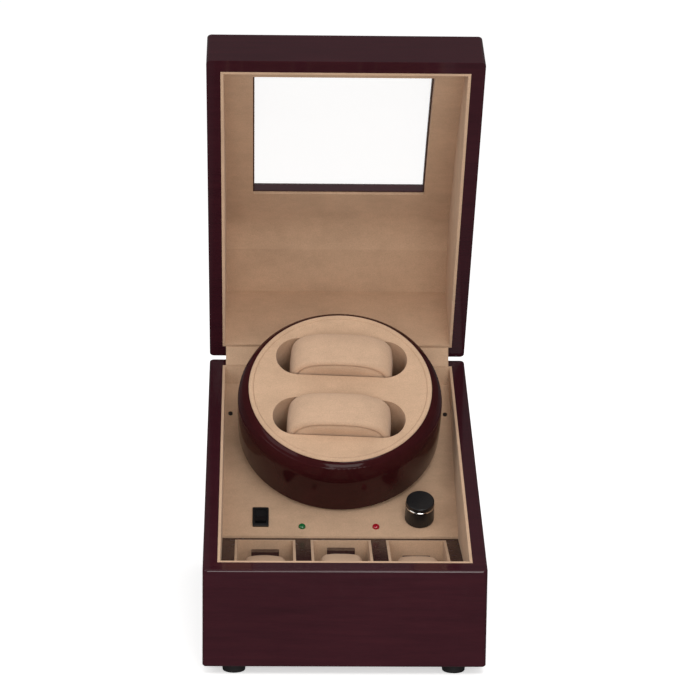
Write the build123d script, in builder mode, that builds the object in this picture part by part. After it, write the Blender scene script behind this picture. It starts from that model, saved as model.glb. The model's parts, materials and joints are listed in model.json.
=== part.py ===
from build123d import *
import os
from math import atan2, cos, degrees, radians, sin, tan

os.makedirs("parts", exist_ok=True)

# Watch winder box: a lacquered wooden case with a slanted rim and a hinged lid, a sloped velvet deck
# that carries a motor-driven drum for two watches, and a low tray with three watch pockets.
# Frame: millimetres, +X to the right, +Y to the back, +Z up. The origin is the centre of the case's
# underside. Profiles that lie in the YZ plane are measured from the front face, and front(y) moves
# them into the frame.

# ---------------------------------------------------------------- driving dimensions
WIDTH = 185.0
DEPTH = 272.0
FRONT_RIM = 65.0  # rim height at the front face
REAR_RIM = 148.0  # rim height at the back face
WALL = 9.4
LINER = 1.9
EDGE_ROUND = 3.0  # vertical corner edges
RIM_ROUND = 1.2

LID_FRONT = 43.0  # height of the lid's front wall, lid closed
LID_TOP = 219.0  # highest level of the closed lid
LID_KNEE = (180.0, 212.5)  # end of the slanted window face, from the front face
LID_FLAT = 222.0  # where the flat top starts
LID_CAMBER = 5.0  # how far the window face bulges over its chord
LID_BOARD = 10.0  # thickness of the lid's top board
LID_OPEN = 71.8  # how far the lid stands open at rest, degrees
LID_GAP = 0.3  # rim to rim, lid closed

HINGE_BACK = 1.8  # hinge axis behind the back face
HINGE_RISE = 0.2  # hinge axis above the rim's back edge
HINGE_X = 52.0
HINGE_LENGTH = 34.0
LEAF_THICK = 1.0
PIN_R = 1.1
BARREL_R = 2.1

FLOOR_THICK = 5.0
FOOT_X = 72.0
FOOT_IN = 12.5  # foot centre from the front and back faces
FOOT_R = 8.0
FOOT_H = 6.0

DECK_FRONT = (128.0, 53.7)  # front edge of the deck's top surface
DECK_TILT = 30.5
DECK_THICK = 4.0

TRAY_TOP = 52.0
TRAY_THICK = 4.0
POCKET_PITCH = 51.8
POCKET_W = 41.4
POCKET_BACK = 121.6  # pocket's back edge from the front face
POCKET_LEN = 95.0
POCKET_FLOOR = 9.5
POCKET_WALL = 1.8

DRUM_TILT = 40.5
DRUM_TURN = 2.5  # the drum has stopped a little clockwise of straight
DRUM_FOOT = (147.8, 66.6)  # lowest front point of the drum ring
DRUM_R = 71.0
DRUM_BULGE = 71.5  # largest radius, a third of the way down the side
CREASE_R = 67.9
CREASE_H = 44.9
FACE_R = 63.8
FACE_H = 48.0
BAND_R = 60.4  # inside of the velvet edge band
SLOT_OFFSET = 26.0
SLOT_LEN = 92.0
SLOT_W = 32.0
WELL_WALL = 1.4
WELL_BOTTOM = 4.0
SHAFT_R = 3.0
SHAFT_BORE = 3.05
PULLEY_R = 22.0
MOTOR_PULLEY_R = 5.5
MOTOR_X = 42.0
MOTOR_R = 12.5
MOTOR_LEN = 26.0

CUSHION_W = 72.5
CUSHION_DEEP = 30.0
CUSHION_PROUD = 14.0

CONTROL_ROW = 17.4  # switch and knob centres, measured up the deck
LAMP_ROW = 8.9
LAMP_R = 2.5
CONTROL_X = 55.0
LAMP_SPOTS = (-26.4, 24.7)
KNOB_R = 10.1
KNOB_H = 17.8
KNOB_RING = 14.6  # top of the bright ring, above the deck
SWITCH_W = 11.2
SWITCH_H = 17.8
DECK_SCREW_X = 77.0
DECK_SCREW_ROW = 122.0

# ---------------------------------------------------------------- derived places
RIM_SLOPE = (REAR_RIM - FRONT_RIM) / DEPTH
RIM_ANGLE = degrees(atan2(REAR_RIM - FRONT_RIM, DEPTH))
INNER_X = WIDTH / 2 - WALL  # inside of the wooden side walls
CLEAR_X = INNER_X - LINER  # inside of the liners
CLEAR_BACK = DEPTH - WALL - LINER
DECK_LEN = (DEPTH - WALL - LINER - DECK_FRONT[0]) / cos(radians(DECK_TILT))
BOARD_Z = FLOOR_THICK + 4  # underside of the control board


def front(y):
    """Frame Y of a distance from the front face."""
    return y - DEPTH / 2


def rim(y):
    """Rim height at a distance from the front face."""
    return FRONT_RIM + RIM_SLOPE * y


def on_deck(row, rise=0.0):
    """(Y, Z) in the frame of a point up the deck from its front edge and above its surface."""
    c, s = cos(radians(DECK_TILT)), sin(radians(DECK_TILT))
    return front(DECK_FRONT[0]) + row * c - rise * s, DECK_FRONT[1] + row * s + rise * c


def deck_plane(x, row, rise=0.0):
    """Plane on the deck: local X is frame X, local Y runs up the slope, local Z stands off the deck."""
    y, z = on_deck(row, rise)
    c, s = cos(radians(DECK_TILT)), sin(radians(DECK_TILT))
    return Plane(origin=(x, y, z), x_dir=(1, 0, 0), z_dir=(0, -s, c))


DRUM_C, DRUM_S = cos(radians(DRUM_TILT)), sin(radians(DRUM_TILT))
DRUM_CENTRE = (0, front(DRUM_FOOT[0]) + DRUM_R * DRUM_C, DRUM_FOOT[1] + DRUM_R * DRUM_S)
DRUM_AXIS = (0, -DRUM_S, DRUM_C)
DRUM_X = (cos(radians(DRUM_TURN)), -sin(radians(DRUM_TURN)) * DRUM_C, -sin(radians(DRUM_TURN)) * DRUM_S)
drum = Plane(origin=DRUM_CENTRE, x_dir=DRUM_X, z_dir=DRUM_AXIS)
mount = Plane(origin=DRUM_CENTRE, x_dir=(1, 0, 0), z_dir=DRUM_AXIS)
HINGE = (front(DEPTH + HINGE_BACK), REAR_RIM + HINGE_RISE)

pieces = []


def keep(part, label, opened=False):
    """Names a finished piece; a piece of the lid is drawn closed and swung open here."""
    if opened:
        axis = Axis((0, HINGE[0], HINGE[1]), (1, 0, 0))
        part = part.rotate(axis, -LID_OPEN)
    part.label = label
    pieces.append(part)


def hinge_seats(side):
    """Cutter for the hinge leaves and barrels; side is -1 below the rim plane and 1 above it."""
    rise = 0 if side < 0 else LID_GAP
    with BuildPart() as cutter:
        for x in (-HINGE_X, HINGE_X):
            with BuildSketch(Plane.YZ.offset(x - HINGE_LENGTH / 2 - 0.1)):
                with BuildLine():
                    Polyline(
                        (front(DEPTH - WALL), rim(DEPTH - WALL) + rise + side * (LEAF_THICK + 0.1)),
                        (front(DEPTH + 1), rim(DEPTH + 1) + rise + side * (LEAF_THICK + 0.1)),
                        (front(DEPTH + 1), rim(DEPTH + 1) - side * 2),
                        (front(DEPTH - WALL), rim(DEPTH - WALL) - side * 2),
                        close=True,
                    )
                make_face()
                with Locations(HINGE):
                    Circle(BARREL_R + 0.6)
            extrude(amount=HINGE_LENGTH + 0.2)
    return cutter.part


# ---------------------------------------------------------------- case
with BuildPart() as case_body:
    with BuildSketch(Plane.YZ.offset(-WIDTH / 2)):
        with BuildLine():
            Polyline(
                (front(0), 0),
                (front(DEPTH), 0),
                (front(DEPTH), REAR_RIM),
                (front(0), FRONT_RIM),
                close=True,
            )
        make_face()
    extrude(amount=WIDTH)
    fillet(case_body.edges().filter_by(Axis.Z), radius=EDGE_ROUND)
    rim_face = case_body.faces().sort_by(Axis.Z)[-1]
    fillet(rim_face.edges(), radius=RIM_ROUND)
    chamfer(case_body.faces().sort_by(Axis.Z)[0].edges(), length=0.8)
    with BuildSketch(Plane.XY):
        Rectangle(2 * INNER_X, DEPTH - 2 * WALL)
    extrude(amount=REAR_RIM + 10, mode=Mode.SUBTRACT)
    with BuildSketch(Plane.XZ.offset(-front(DEPTH) - 1)):
        with Locations((60, 24)):
            Circle(5.5)
    extrude(amount=WALL + 2, mode=Mode.SUBTRACT)
    add(hinge_seats(-1), mode=Mode.SUBTRACT)
keep(case_body.part, "case_body")

FOOT_SPOTS = [(sx * FOOT_X, sy * (DEPTH / 2 - FOOT_IN)) for sx in (-1, 1) for sy in (-1, 1)]
with BuildPart() as case_bottom_panel:
    with BuildSketch(Plane.XY):
        Rectangle(2 * INNER_X - 0.1, DEPTH - 2 * WALL - 0.1)
    extrude(amount=FLOOR_THICK)
    with Locations(*[Location((x, y, 0)) for x, y in FOOT_SPOTS]):
        Hole(radius=1.6)
keep(case_bottom_panel.part, "case_bottom_panel")

with BuildPart() as rubber_feet:
    with BuildSketch(Plane.XY):
        with Locations(*FOOT_SPOTS):
            Circle(FOOT_R)
    extrude(amount=-FOOT_H, taper=6)
    fillet(rubber_feet.faces().group_by(Axis.Z)[0].edges(), radius=1)
    with Locations(*[Location((x, y, -FOOT_H), (180, 0, 0)) for x, y in FOOT_SPOTS]):
        CounterBoreHole(radius=1.6, counter_bore_radius=3.2, counter_bore_depth=3.2)
keep(rubber_feet.part, "rubber_feet")

with BuildPart() as foot_screws:
    with BuildSketch(Plane.XY.offset(-FOOT_H + 3.2)):
        with Locations(*FOOT_SPOTS):
            Circle(2.9)
    extrude(amount=-2)
    with BuildSketch(Plane.XY.offset(-FOOT_H + 3.2)):
        with Locations(*FOOT_SPOTS):
            Circle(1.55)
    extrude(amount=6.5)
    with BuildSketch(Plane.XY.offset(-FOOT_H + 1.2)):
        with Locations(*FOOT_SPOTS):
            Rectangle(3.4, 0.7)
            Rectangle(0.7, 3.4)
    extrude(amount=0.9, mode=Mode.SUBTRACT)
keep(foot_screws.part, "foot_screws")


def side_liner(x_low, label):
    """Velvet board along a side wall of the case, from the floor to the rim."""
    with BuildPart() as board:
        with BuildSketch(Plane.YZ.offset(x_low)):
            with BuildLine():
                Polyline(
                    (front(WALL), FLOOR_THICK),
                    (front(DEPTH - WALL), FLOOR_THICK),
                    (front(DEPTH - WALL), rim(DEPTH - WALL)),
                    (front(WALL), rim(WALL)),
                    close=True,
                )
            make_face()
        extrude(amount=LINER)
        fillet(board.faces().sort_by(Axis.Z)[-1].edges().filter_by(GeomType.LINE).sort_by(Axis.X)[0], 0.5)
    keep(board.part, label)


side_liner(-INNER_X, "case_liner_left")
side_liner(CLEAR_X, "case_liner_right")


def cross_liner(y_near, label):
    """Velvet board along the front or back wall, between the side boards."""
    with BuildPart() as board:
        with BuildSketch(Plane.YZ.offset(-CLEAR_X)):
            with BuildLine():
                Polyline(
                    (front(y_near), FLOOR_THICK),
                    (front(y_near + LINER), FLOOR_THICK),
                    (front(y_near + LINER), rim(y_near + LINER)),
                    (front(y_near), rim(y_near)),
                    close=True,
                )
            make_face()
        extrude(amount=2 * CLEAR_X)
    keep(board.part, label)


cross_liner(WALL, "case_liner_front")
cross_liner(DEPTH - WALL - LINER, "case_liner_back")

# ---------------------------------------------------------------- deck
deck = deck_plane(0, 0)
deck_back_y, deck_back_z = on_deck(DECK_LEN)
SHAFT_ROW = (DRUM_CENTRE[1] - on_deck(0)[0]) / cos(radians(DECK_TILT)) + 8.0
with BuildPart() as winder_deck:
    with BuildSketch(Plane.YZ.offset(-CLEAR_X)):
        with BuildLine():
            Polyline(
                on_deck(0),
                (deck_back_y, deck_back_z),
                (deck_back_y, deck_back_z - DECK_THICK / cos(radians(DECK_TILT))),
                (on_deck(0)[0], DECK_FRONT[1] - DECK_THICK / cos(radians(DECK_TILT))),
                close=True,
            )
        make_face()
    extrude(amount=2 * CLEAR_X)
    front_edge = winder_deck.edges().filter_by(Axis.X).sort_by(Axis.Y)[:2].sort_by(Axis.Z)[-1]
    fillet(front_edge, radius=1)
    with BuildSketch(deck):
        with Locations((0, SHAFT_ROW)):
            Circle(13)
        with Locations((-CONTROL_X, CONTROL_ROW)):
            Rectangle(SWITCH_W - 1.8, SWITCH_H - 2.0)
        with Locations((CONTROL_X, CONTROL_ROW)):
            Circle(3.6)
        with Locations(*[(x, LAMP_ROW) for x in LAMP_SPOTS]):
            Circle(LAMP_R + 0.05)
        with Locations((-DECK_SCREW_X, DECK_SCREW_ROW), (DECK_SCREW_X, DECK_SCREW_ROW)):
            Circle(1.3)
    extrude(amount=-20, mode=Mode.SUBTRACT)
keep(winder_deck.part, "winder_deck")

with BuildPart() as deck_battens:
    for x in (-CLEAR_X, CLEAR_X - 8):
        with BuildSketch(deck_plane(x, 0, -DECK_THICK)):
            with Locations((4, 76)):
                Rectangle(8, 132)
        extrude(amount=-9)
    with BuildSketch(deck_plane(0, 0, -DECK_THICK)):
        with Locations((-DECK_SCREW_X, DECK_SCREW_ROW), (DECK_SCREW_X, DECK_SCREW_ROW)):
            Circle(1.3)
    extrude(amount=-8, mode=Mode.SUBTRACT)
keep(deck_battens.part, "deck_battens")

with BuildPart() as deck_screws:
    with BuildSketch(deck):
        with Locations((-DECK_SCREW_X, DECK_SCREW_ROW), (DECK_SCREW_X, DECK_SCREW_ROW)):
            Circle(1.6)
    extrude(amount=0.9)
    with BuildSketch(deck):
        with Locations((-DECK_SCREW_X, DECK_SCREW_ROW), (DECK_SCREW_X, DECK_SCREW_ROW)):
            Circle(1.25)
    extrude(amount=-11)
    with BuildSketch(deck_plane(0, 0, 0.9)):
        with Locations((-DECK_SCREW_X, DECK_SCREW_ROW), (DECK_SCREW_X, DECK_SCREW_ROW)):
            Rectangle(2.6, 0.5)
            Rectangle(0.5, 2.6)
    extrude(amount=-0.5, mode=Mode.SUBTRACT)
keep(deck_screws.part, "deck_screws")

# rocker switch: a bezel with a deep window, and a rocker that tips on a pin across it
SWITCH_IN_W, SWITCH_IN_H = SWITCH_W - 3.4, SWITCH_H - 4.4
ROCKER_PIVOT = -1.6  # pivot below the deck's surface
ROCKER_PIN_R = 0.9
ROCKER_TILT = 14.0  # from on to off, degrees
with BuildPart() as switch_housing:
    with BuildSketch(deck_plane(-CONTROL_X, CONTROL_ROW)):
        RectangleRounded(SWITCH_W, SWITCH_H, 0.8)
    extrude(amount=1.6)
    fillet(switch_housing.faces().sort_by(Axis((0, 0, 0), (0, -sin(radians(DECK_TILT)), 1)))[-1].edges(), 0.4)
    with BuildSketch(deck_plane(-CONTROL_X, CONTROL_ROW)):
        Rectangle(SWITCH_W - 2.0, SWITCH_H - 2.2)
    extrude(amount=-15)
    with BuildSketch(deck_plane(-CONTROL_X, CONTROL_ROW, 2)):
        Rectangle(SWITCH_IN_W, SWITCH_IN_H)
    extrude(amount=-12, mode=Mode.SUBTRACT)
    with BuildSketch(deck_plane(-CONTROL_X, CONTROL_ROW, -15)):
        with Locations((0, -4), (0, 4)):
            Rectangle(4.0, 0.8)
    extrude(amount=-6)
    with BuildSketch(Plane.YZ.offset(-CONTROL_X - SWITCH_W / 2)):
        with Locations(on_deck(CONTROL_ROW, ROCKER_PIVOT)):
            Circle(ROCKER_PIN_R + 0.05)
    extrude(amount=SWITCH_W, mode=Mode.SUBTRACT)
keep(switch_housing.part, "switch_housing")


def on_rocker(along, rise):
    """(Y, Z) in the frame of a point of the rocker, given about its pivot with the rocker level."""
    lean = radians(-ROCKER_TILT / 2)
    row = CONTROL_ROW + along * cos(lean) - rise * sin(lean)
    return on_deck(row, ROCKER_PIVOT + along * sin(lean) + rise * cos(lean))


with BuildPart() as power_rocker:
    with BuildSketch(Plane.YZ.offset(-CONTROL_X - SWITCH_IN_W / 2 + 0.25)):
        with BuildLine():
            Polyline(
                on_rocker(-5.75, 3.6),
                on_rocker(0, 2.9),
                on_rocker(5.75, 3.6),
                on_rocker(5.3, 0),
                on_rocker(1.6, -3.4),
                on_rocker(-1.6, -3.4),
                on_rocker(-5.3, 0),
                close=True,
            )
        make_face()
    extrude(amount=SWITCH_IN_W - 0.5)
    with BuildSketch(Plane.YZ.offset(-CONTROL_X - SWITCH_IN_W / 2 - 0.5)):
        with Locations(on_deck(CONTROL_ROW, ROCKER_PIVOT)):
            Circle(ROCKER_PIN_R)
    extrude(amount=SWITCH_IN_W + 1)
keep(power_rocker.part, "power_rocker")

knob_seat = deck_plane(CONTROL_X, CONTROL_ROW)
KNOB_GAP = 0.6
with BuildPart() as program_knob:
    with BuildSketch(deck_plane(CONTROL_X, CONTROL_ROW, KNOB_GAP)):
        Circle(KNOB_R)
    extrude(amount=KNOB_RING - 1.1 - KNOB_GAP, taper=1)
    with BuildSketch(deck_plane(CONTROL_X, CONTROL_ROW, KNOB_GAP)):
        with PolarLocations(KNOB_R + 0.42, 48):
            Circle(0.6)
    extrude(amount=KNOB_RING - 2.1 - KNOB_GAP, mode=Mode.SUBTRACT)
    with BuildSketch(deck_plane(CONTROL_X, CONTROL_ROW, KNOB_RING - 1.1)):
        Circle(KNOB_R - 2.0)
    extrude(amount=1.1)
    with BuildSketch(deck_plane(CONTROL_X, CONTROL_ROW, KNOB_RING)):
        Circle(KNOB_R - 0.35)
    extrude(amount=KNOB_H - KNOB_RING, taper=1)
    fillet(program_knob.faces().sort_by(Axis(knob_seat.origin, knob_seat.z_dir))[-1].edges(), radius=0.8)
    with BuildSketch(deck_plane(CONTROL_X, CONTROL_ROW, KNOB_GAP)):
        Circle(3.0)
    extrude(amount=10, mode=Mode.SUBTRACT)
    with BuildSketch(deck_plane(CONTROL_X, CONTROL_ROW, KNOB_H)):
        with Locations((0, KNOB_R - 3.2)):
            Rectangle(0.6, 2.6)
    extrude(amount=-0.4, mode=Mode.SUBTRACT)
keep(program_knob.part, "program_knob")

with BuildPart() as knob_trim_ring:
    with BuildSketch(deck_plane(CONTROL_X, CONTROL_ROW, KNOB_RING - 1.1)):
        Circle(KNOB_R - 0.1)
        Circle(KNOB_R - 1.98, mode=Mode.SUBTRACT)
    extrude(amount=1.1)
    knob_axis = Axis(knob_seat.origin, knob_seat.z_dir)
    chamfer(knob_trim_ring.faces().sort_by(knob_axis)[-1].edges().sort_by(SortBy.LENGTH)[-1], length=0.3)
keep(knob_trim_ring.part, "knob_trim_ring")

with BuildPart() as knob_shaft:
    with BuildSketch(deck_plane(CONTROL_X, CONTROL_ROW, -9.0)):
        Circle(2.95)
    extrude(amount=9.0 + KNOB_GAP + 10)
keep(knob_shaft.part, "knob_shaft")

with BuildPart() as selector_potentiometer:
    with BuildSketch(deck_plane(CONTROL_X, CONTROL_ROW, -DECK_THICK)):
        Circle(8.2)
    extrude(amount=-8.5)
    with BuildSketch(deck_plane(CONTROL_X, CONTROL_ROW, -DECK_THICK)):
        Circle(3.5)
    extrude(amount=DECK_THICK - 0.2)
    with BuildSketch(deck_plane(CONTROL_X, CONTROL_ROW, 0)):
        Circle(3.02)
    extrude(amount=-9.4, mode=Mode.SUBTRACT)
    with BuildSketch(deck_plane(CONTROL_X, CONTROL_ROW, -DECK_THICK - 6)):
        with Locations((-4, 9.6), (0, 9.6), (4, 9.6)):
            Rectangle(1.6, 6)
    extrude(amount=-0.8)
keep(selector_potentiometer.part, "selector_potentiometer")


def lamp(x, label):
    """Round-nosed indicator lamp pushed into the deck."""
    with BuildPart() as body:
        with BuildSketch(deck_plane(x, LAMP_ROW, -6.5)):
            Circle(LAMP_R)
        extrude(amount=8.2)
        nose = body.faces().filter_by(GeomType.PLANE).sort_by(Axis.Z)[-1]
        fillet(nose.edges(), radius=1.6)
        with BuildSketch(deck_plane(x, LAMP_ROW, -6.5)):
            Circle(LAMP_R + 0.4)
        extrude(amount=-1.0)
        with BuildSketch(deck_plane(x, LAMP_ROW, -7.5)):
            with Locations((-1.27, 0), (1.27, 0)):
                Rectangle(0.5, 0.5)
        extrude(amount=-8)
    keep(body.part, label)


lamp(LAMP_SPOTS[0], "green_lamp")
lamp(LAMP_SPOTS[1], "red_lamp")

# ---------------------------------------------------------------- storage tray
TRAY_FRONT = WALL + LINER
POCKET_MID = POCKET_BACK - POCKET_LEN / 2
POCKET_SPOTS = [(i * POCKET_PITCH, front(POCKET_MID)) for i in (-1, 0, 1)]
with BuildPart() as storage_tray:
    with BuildSketch(Plane.XY.offset(TRAY_TOP - TRAY_THICK)):
        with Locations((0, front((TRAY_FRONT + DECK_FRONT[0]) / 2))):
            Rectangle(2 * CLEAR_X, DECK_FRONT[0] - TRAY_FRONT)
        with Locations(*POCKET_SPOTS):
            Rectangle(POCKET_W, POCKET_LEN, mode=Mode.SUBTRACT)
    extrude(amount=TRAY_THICK)
keep(storage_tray.part, "storage_tray")

for number, (px, py) in enumerate(POCKET_SPOTS, start=1):
    with BuildPart() as pocket:
        with BuildSketch(Plane.XY.offset(POCKET_FLOOR)):
            with Locations((px, py)):
                Rectangle(POCKET_W - 0.1, POCKET_LEN - 0.1)
        extrude(amount=TRAY_TOP + 0.6 - POCKET_FLOOR)
        with BuildSketch(Plane.XY.offset(POCKET_FLOOR + POCKET_WALL)):
            with Locations((px, py)):
                RectangleRounded(POCKET_W - 2 * POCKET_WALL, POCKET_LEN - 2 * POCKET_WALL, 2)
        extrude(amount=TRAY_TOP, mode=Mode.SUBTRACT)
    keep(pocket.part, f"storage_pocket_{number}")

# The cushions are oval rolls. A stored one lies with its strap loop along the pocket.
STORED_H = 38.0
STORED_W = 29.0
STORED_LEN = 76.0
STORED_BASE = POCKET_FLOOR + POCKET_WALL + 0.5
STORED_DROP = (2.8, 1.4, 3.0)  # how much lower than full height each cushion is squashed
CORE_W = 19.0
CORE_H = 7.0
STORED_MID = POCKET_BACK - POCKET_WALL - 5.5 - STORED_LEN / 2
for number, ((px, py), drop) in enumerate(zip(POCKET_SPOTS, STORED_DROP), start=1):
    top = STORED_BASE + STORED_H - drop
    core_y = front(STORED_MID + STORED_LEN / 2)
    with BuildPart() as cushion:
        with BuildSketch(Plane.YZ.offset(px - STORED_W / 2)):
            with Locations((front(STORED_MID), (STORED_BASE + top) / 2)):
                RectangleRounded(STORED_LEN, top - STORED_BASE, 14)
        extrude(amount=STORED_W)
        fillet(cushion.edges().filter_by(GeomType.LINE).filter_by(Axis.Y), radius=2)
        with BuildSketch(Plane.XY.offset(top - CORE_H)):
            with Locations((px, core_y - 4)):
                Rectangle(CORE_W + 0.2, 8)
        extrude(amount=CORE_H + 1, mode=Mode.SUBTRACT)
    keep(cushion.part, f"storage_cushion_{number}")
    with BuildPart() as core:
        with BuildSketch(Plane.XY.offset(top - CORE_H)):
            with Locations((px, core_y - 3.9)):
                RectangleRounded(CORE_W, 7.6, 1.2)
        extrude(amount=CORE_H - 3.0 if number == 3 else CORE_H + 0.8)
    keep(core.part, f"storage_cushion_core_{number}")

# ---------------------------------------------------------------- drum


def turned(points, plane):
    """Profile in (radius, height) drawn on the plane's XZ, for a revolve about the plane's axis."""
    section = Plane(origin=plane.origin, x_dir=plane.x_dir, z_dir=-plane.y_dir)
    with BuildSketch(section, mode=Mode.PRIVATE) as profile:
        with BuildLine():
            Polyline(*points, close=True)
        make_face()
    return profile.sketch


spin_axis = Axis(DRUM_CENTRE, DRUM_AXIS)
RING_IN = 66.2  # inside of the ring below its lip
with BuildPart() as drum_ring:
    section = Plane(origin=drum.origin, x_dir=drum.x_dir, z_dir=-drum.y_dir)
    with BuildSketch(section):
        with BuildLine():
            Polyline((FACE_R + 0.1, CREASE_H - 1), (FACE_R + 0.1, FACE_H - 0.2))
            ThreePointArc((FACE_R + 0.1, FACE_H - 0.2), (66.1, FACE_H - 1.4), (CREASE_R - 0.4, CREASE_H + 0.2))
            ThreePointArc(
                (CREASE_R - 0.4, CREASE_H + 0.2), (CREASE_R + 0.2, CREASE_H - 0.3), (CREASE_R + 0.6, CREASE_H - 1)
            )
            ThreePointArc((CREASE_R + 0.6, CREASE_H - 1), (70.8, 38.5), (DRUM_BULGE, 32.0))
            ThreePointArc((DRUM_BULGE, 32.0), (DRUM_BULGE + 0.05, 17.0), (DRUM_R, 1.6))
            ThreePointArc((DRUM_R, 1.6), (DRUM_R - 0.5, 0.5), (DRUM_R - 1.6, 0))
            Polyline((DRUM_R - 1.6, 0), (RING_IN - 1, 0), (FACE_R + 0.1, CREASE_H - 1))
        make_face()
    revolve(axis=spin_axis)
keep(drum_ring.part, "drum_ring")

with BuildPart() as drum_edge_band:
    band_lip = [(FACE_R, FACE_H), (63.2, FACE_H + 0.6), (61.0, FACE_H + 0.6), (BAND_R, FACE_H)]
    add(turned([(BAND_R, 36), (FACE_R, 36), *band_lip], drum))
    revolve(axis=spin_axis)
keep(drum_edge_band.part, "drum_edge_band")

SLOT_SPOTS = [(0, SLOT_OFFSET), (0, -SLOT_OFFSET)]
FACE_THICK = 4.0
with BuildPart() as drum_face:
    with BuildSketch(drum.offset(FACE_H)):
        Circle(BAND_R - 0.1)
        with Locations(*SLOT_SPOTS):
            SlotOverall(SLOT_LEN, SLOT_W, mode=Mode.SUBTRACT)
    extrude(amount=-FACE_THICK)
keep(drum_face.part, "drum_face")

for spot, name in zip(SLOT_SPOTS, ("upper", "lower")):
    with BuildPart() as well:
        with BuildSketch(drum.offset(FACE_H - FACE_THICK)):
            with Locations(spot):
                SlotOverall(SLOT_LEN + 2 * WELL_WALL, SLOT_W + 2 * WELL_WALL)
        extrude(amount=-(FACE_H - FACE_THICK - WELL_BOTTOM))
        with BuildSketch(drum.offset(FACE_H)):
            with Locations(spot):
                SlotOverall(SLOT_LEN, SLOT_W)
        extrude(amount=-(FACE_H - WELL_BOTTOM - WELL_WALL), mode=Mode.SUBTRACT)
    keep(well.part, f"watch_well_{name}")
    roll_low = WELL_BOTTOM + WELL_WALL + 0.6
    roll_top = FACE_H + CUSHION_PROUD
    with BuildPart() as roll:
        side = Plane(origin=drum.origin, x_dir=drum.x_dir, z_dir=-drum.y_dir)
        with BuildSketch(side.offset(-spot[1] - CUSHION_DEEP / 2)):
            with Locations((0, (roll_low + roll_top) / 2)):
                RectangleRounded(CUSHION_W, roll_top - roll_low, 17)
        extrude(amount=CUSHION_DEEP)
        fillet(roll.faces().filter_by(GeomType.PLANE).filter_by(Axis((0, 0, 0), drum.y_dir)).edges(), radius=1.2)
    keep(roll.part, f"watch_cushion_{name}")

with BuildPart() as drum_back_plate:
    with BuildSketch(drum.offset(1.0)):
        Circle(RING_IN - 1.3)
    extrude(amount=WELL_BOTTOM - 1.0)
    with BuildSketch(drum.offset(1.0)):
        Circle(SHAFT_R)
    extrude(amount=6, mode=Mode.SUBTRACT)
keep(drum_back_plate.part, "drum_back_plate")

with BuildPart() as drum_hub:
    with BuildSketch(drum.offset(1.0)):
        Circle(11)
        Circle(SHAFT_R, mode=Mode.SUBTRACT)
    extrude(amount=-3.0)
keep(drum_hub.part, "drum_hub")

BRACKET_Z = -36.0  # top of the bracket plate, along the drum axis
with BuildPart() as drum_shaft:
    with BuildSketch(drum.offset(WELL_BOTTOM - 0.2)):
        Circle(SHAFT_R - 0.01)
    extrude(amount=BRACKET_Z - 5 - WELL_BOTTOM + 0.2)
keep(drum_shaft.part, "drum_shaft")

PULLEY_TOP = -26.0
PULLEY_THICK = 6.0
with BuildPart() as drum_pulley:
    add(turned(
        [
            (SHAFT_R, PULLEY_TOP),
            (PULLEY_R + 1.5, PULLEY_TOP),
            (PULLEY_R + 1.5, PULLEY_TOP - 1),
            (PULLEY_R, PULLEY_TOP - 1),
            (PULLEY_R, PULLEY_TOP - PULLEY_THICK + 1),
            (PULLEY_R + 1.5, PULLEY_TOP - PULLEY_THICK + 1),
            (PULLEY_R + 1.5, PULLEY_TOP - PULLEY_THICK),
            (SHAFT_R, PULLEY_TOP - PULLEY_THICK),
        ],
        drum,
    ))
    revolve(axis=spin_axis)
keep(drum_pulley.part, "drum_pulley")

# ---------------------------------------------------------------- pedestal and drive
PEDESTAL_R = 58.0
PEDESTAL_TOP = -2.6
BUSH_R = 6.0
with BuildPart() as drum_pedestal:
    with BuildSketch(mount.offset(PEDESTAL_TOP)):
        Circle(PEDESTAL_R)
        Circle(BUSH_R, mode=Mode.SUBTRACT)
    extrude(amount=-50)
    split(bisect_by=deck_plane(0, 0), keep=Keep.TOP)
    split(bisect_by=Plane(origin=(0, front(CLEAR_BACK) - 0.3, 0), z_dir=(0, -1, 0)), keep=Keep.TOP)
keep(drum_pedestal.part, "drum_pedestal")

with BuildPart() as upper_bush:
    with BuildSketch(mount.offset(PEDESTAL_TOP)):
        Circle(BUSH_R - 0.02)
        Circle(SHAFT_BORE, mode=Mode.SUBTRACT)
    extrude(amount=-12)
keep(upper_bush.part, "upper_shaft_bush")

BRACKET_HALF_X = 58.0
BRACKET_HALF_Y = 20.0
BRACKET_THICK = 1.6
with BuildPart() as motor_bracket:
    with BuildSketch(mount.offset(BRACKET_Z)):
        Rectangle(2 * BRACKET_HALF_X, 2 * BRACKET_HALF_Y)
    extrude(amount=-BRACKET_THICK)
    for x in (-BRACKET_HALF_X, BRACKET_HALF_X - BRACKET_THICK):
        with BuildSketch(mount.offset(BRACKET_Z)):
            with Locations((x + BRACKET_THICK / 2, 0)):
                Rectangle(BRACKET_THICK, 2 * BRACKET_HALF_Y)
        extrude(amount=40)
    split(bisect_by=deck_plane(0, 0, -DECK_THICK), keep=Keep.BOTTOM)
    for x in (-BRACKET_HALF_X - 7, BRACKET_HALF_X):
        with BuildSketch(deck_plane(x + 3.5, SHAFT_ROW - 4, -DECK_THICK)):
            Rectangle(7, 30)
        extrude(amount=-BRACKET_THICK)
    with BuildSketch(mount.offset(BRACKET_Z)):
        Circle(BUSH_R)
        with Locations((MOTOR_X, 0)):
            Circle(3.2)
    extrude(amount=-BRACKET_THICK, mode=Mode.SUBTRACT)
    with BuildSketch(deck_plane(0, SHAFT_ROW - 4, -DECK_THICK)):
        with GridLocations(2 * BRACKET_HALF_X + 8, 18, 2, 2):
            Circle(1.5)
    extrude(amount=-BRACKET_THICK, mode=Mode.SUBTRACT)
keep(motor_bracket.part, "motor_bracket")

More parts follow.
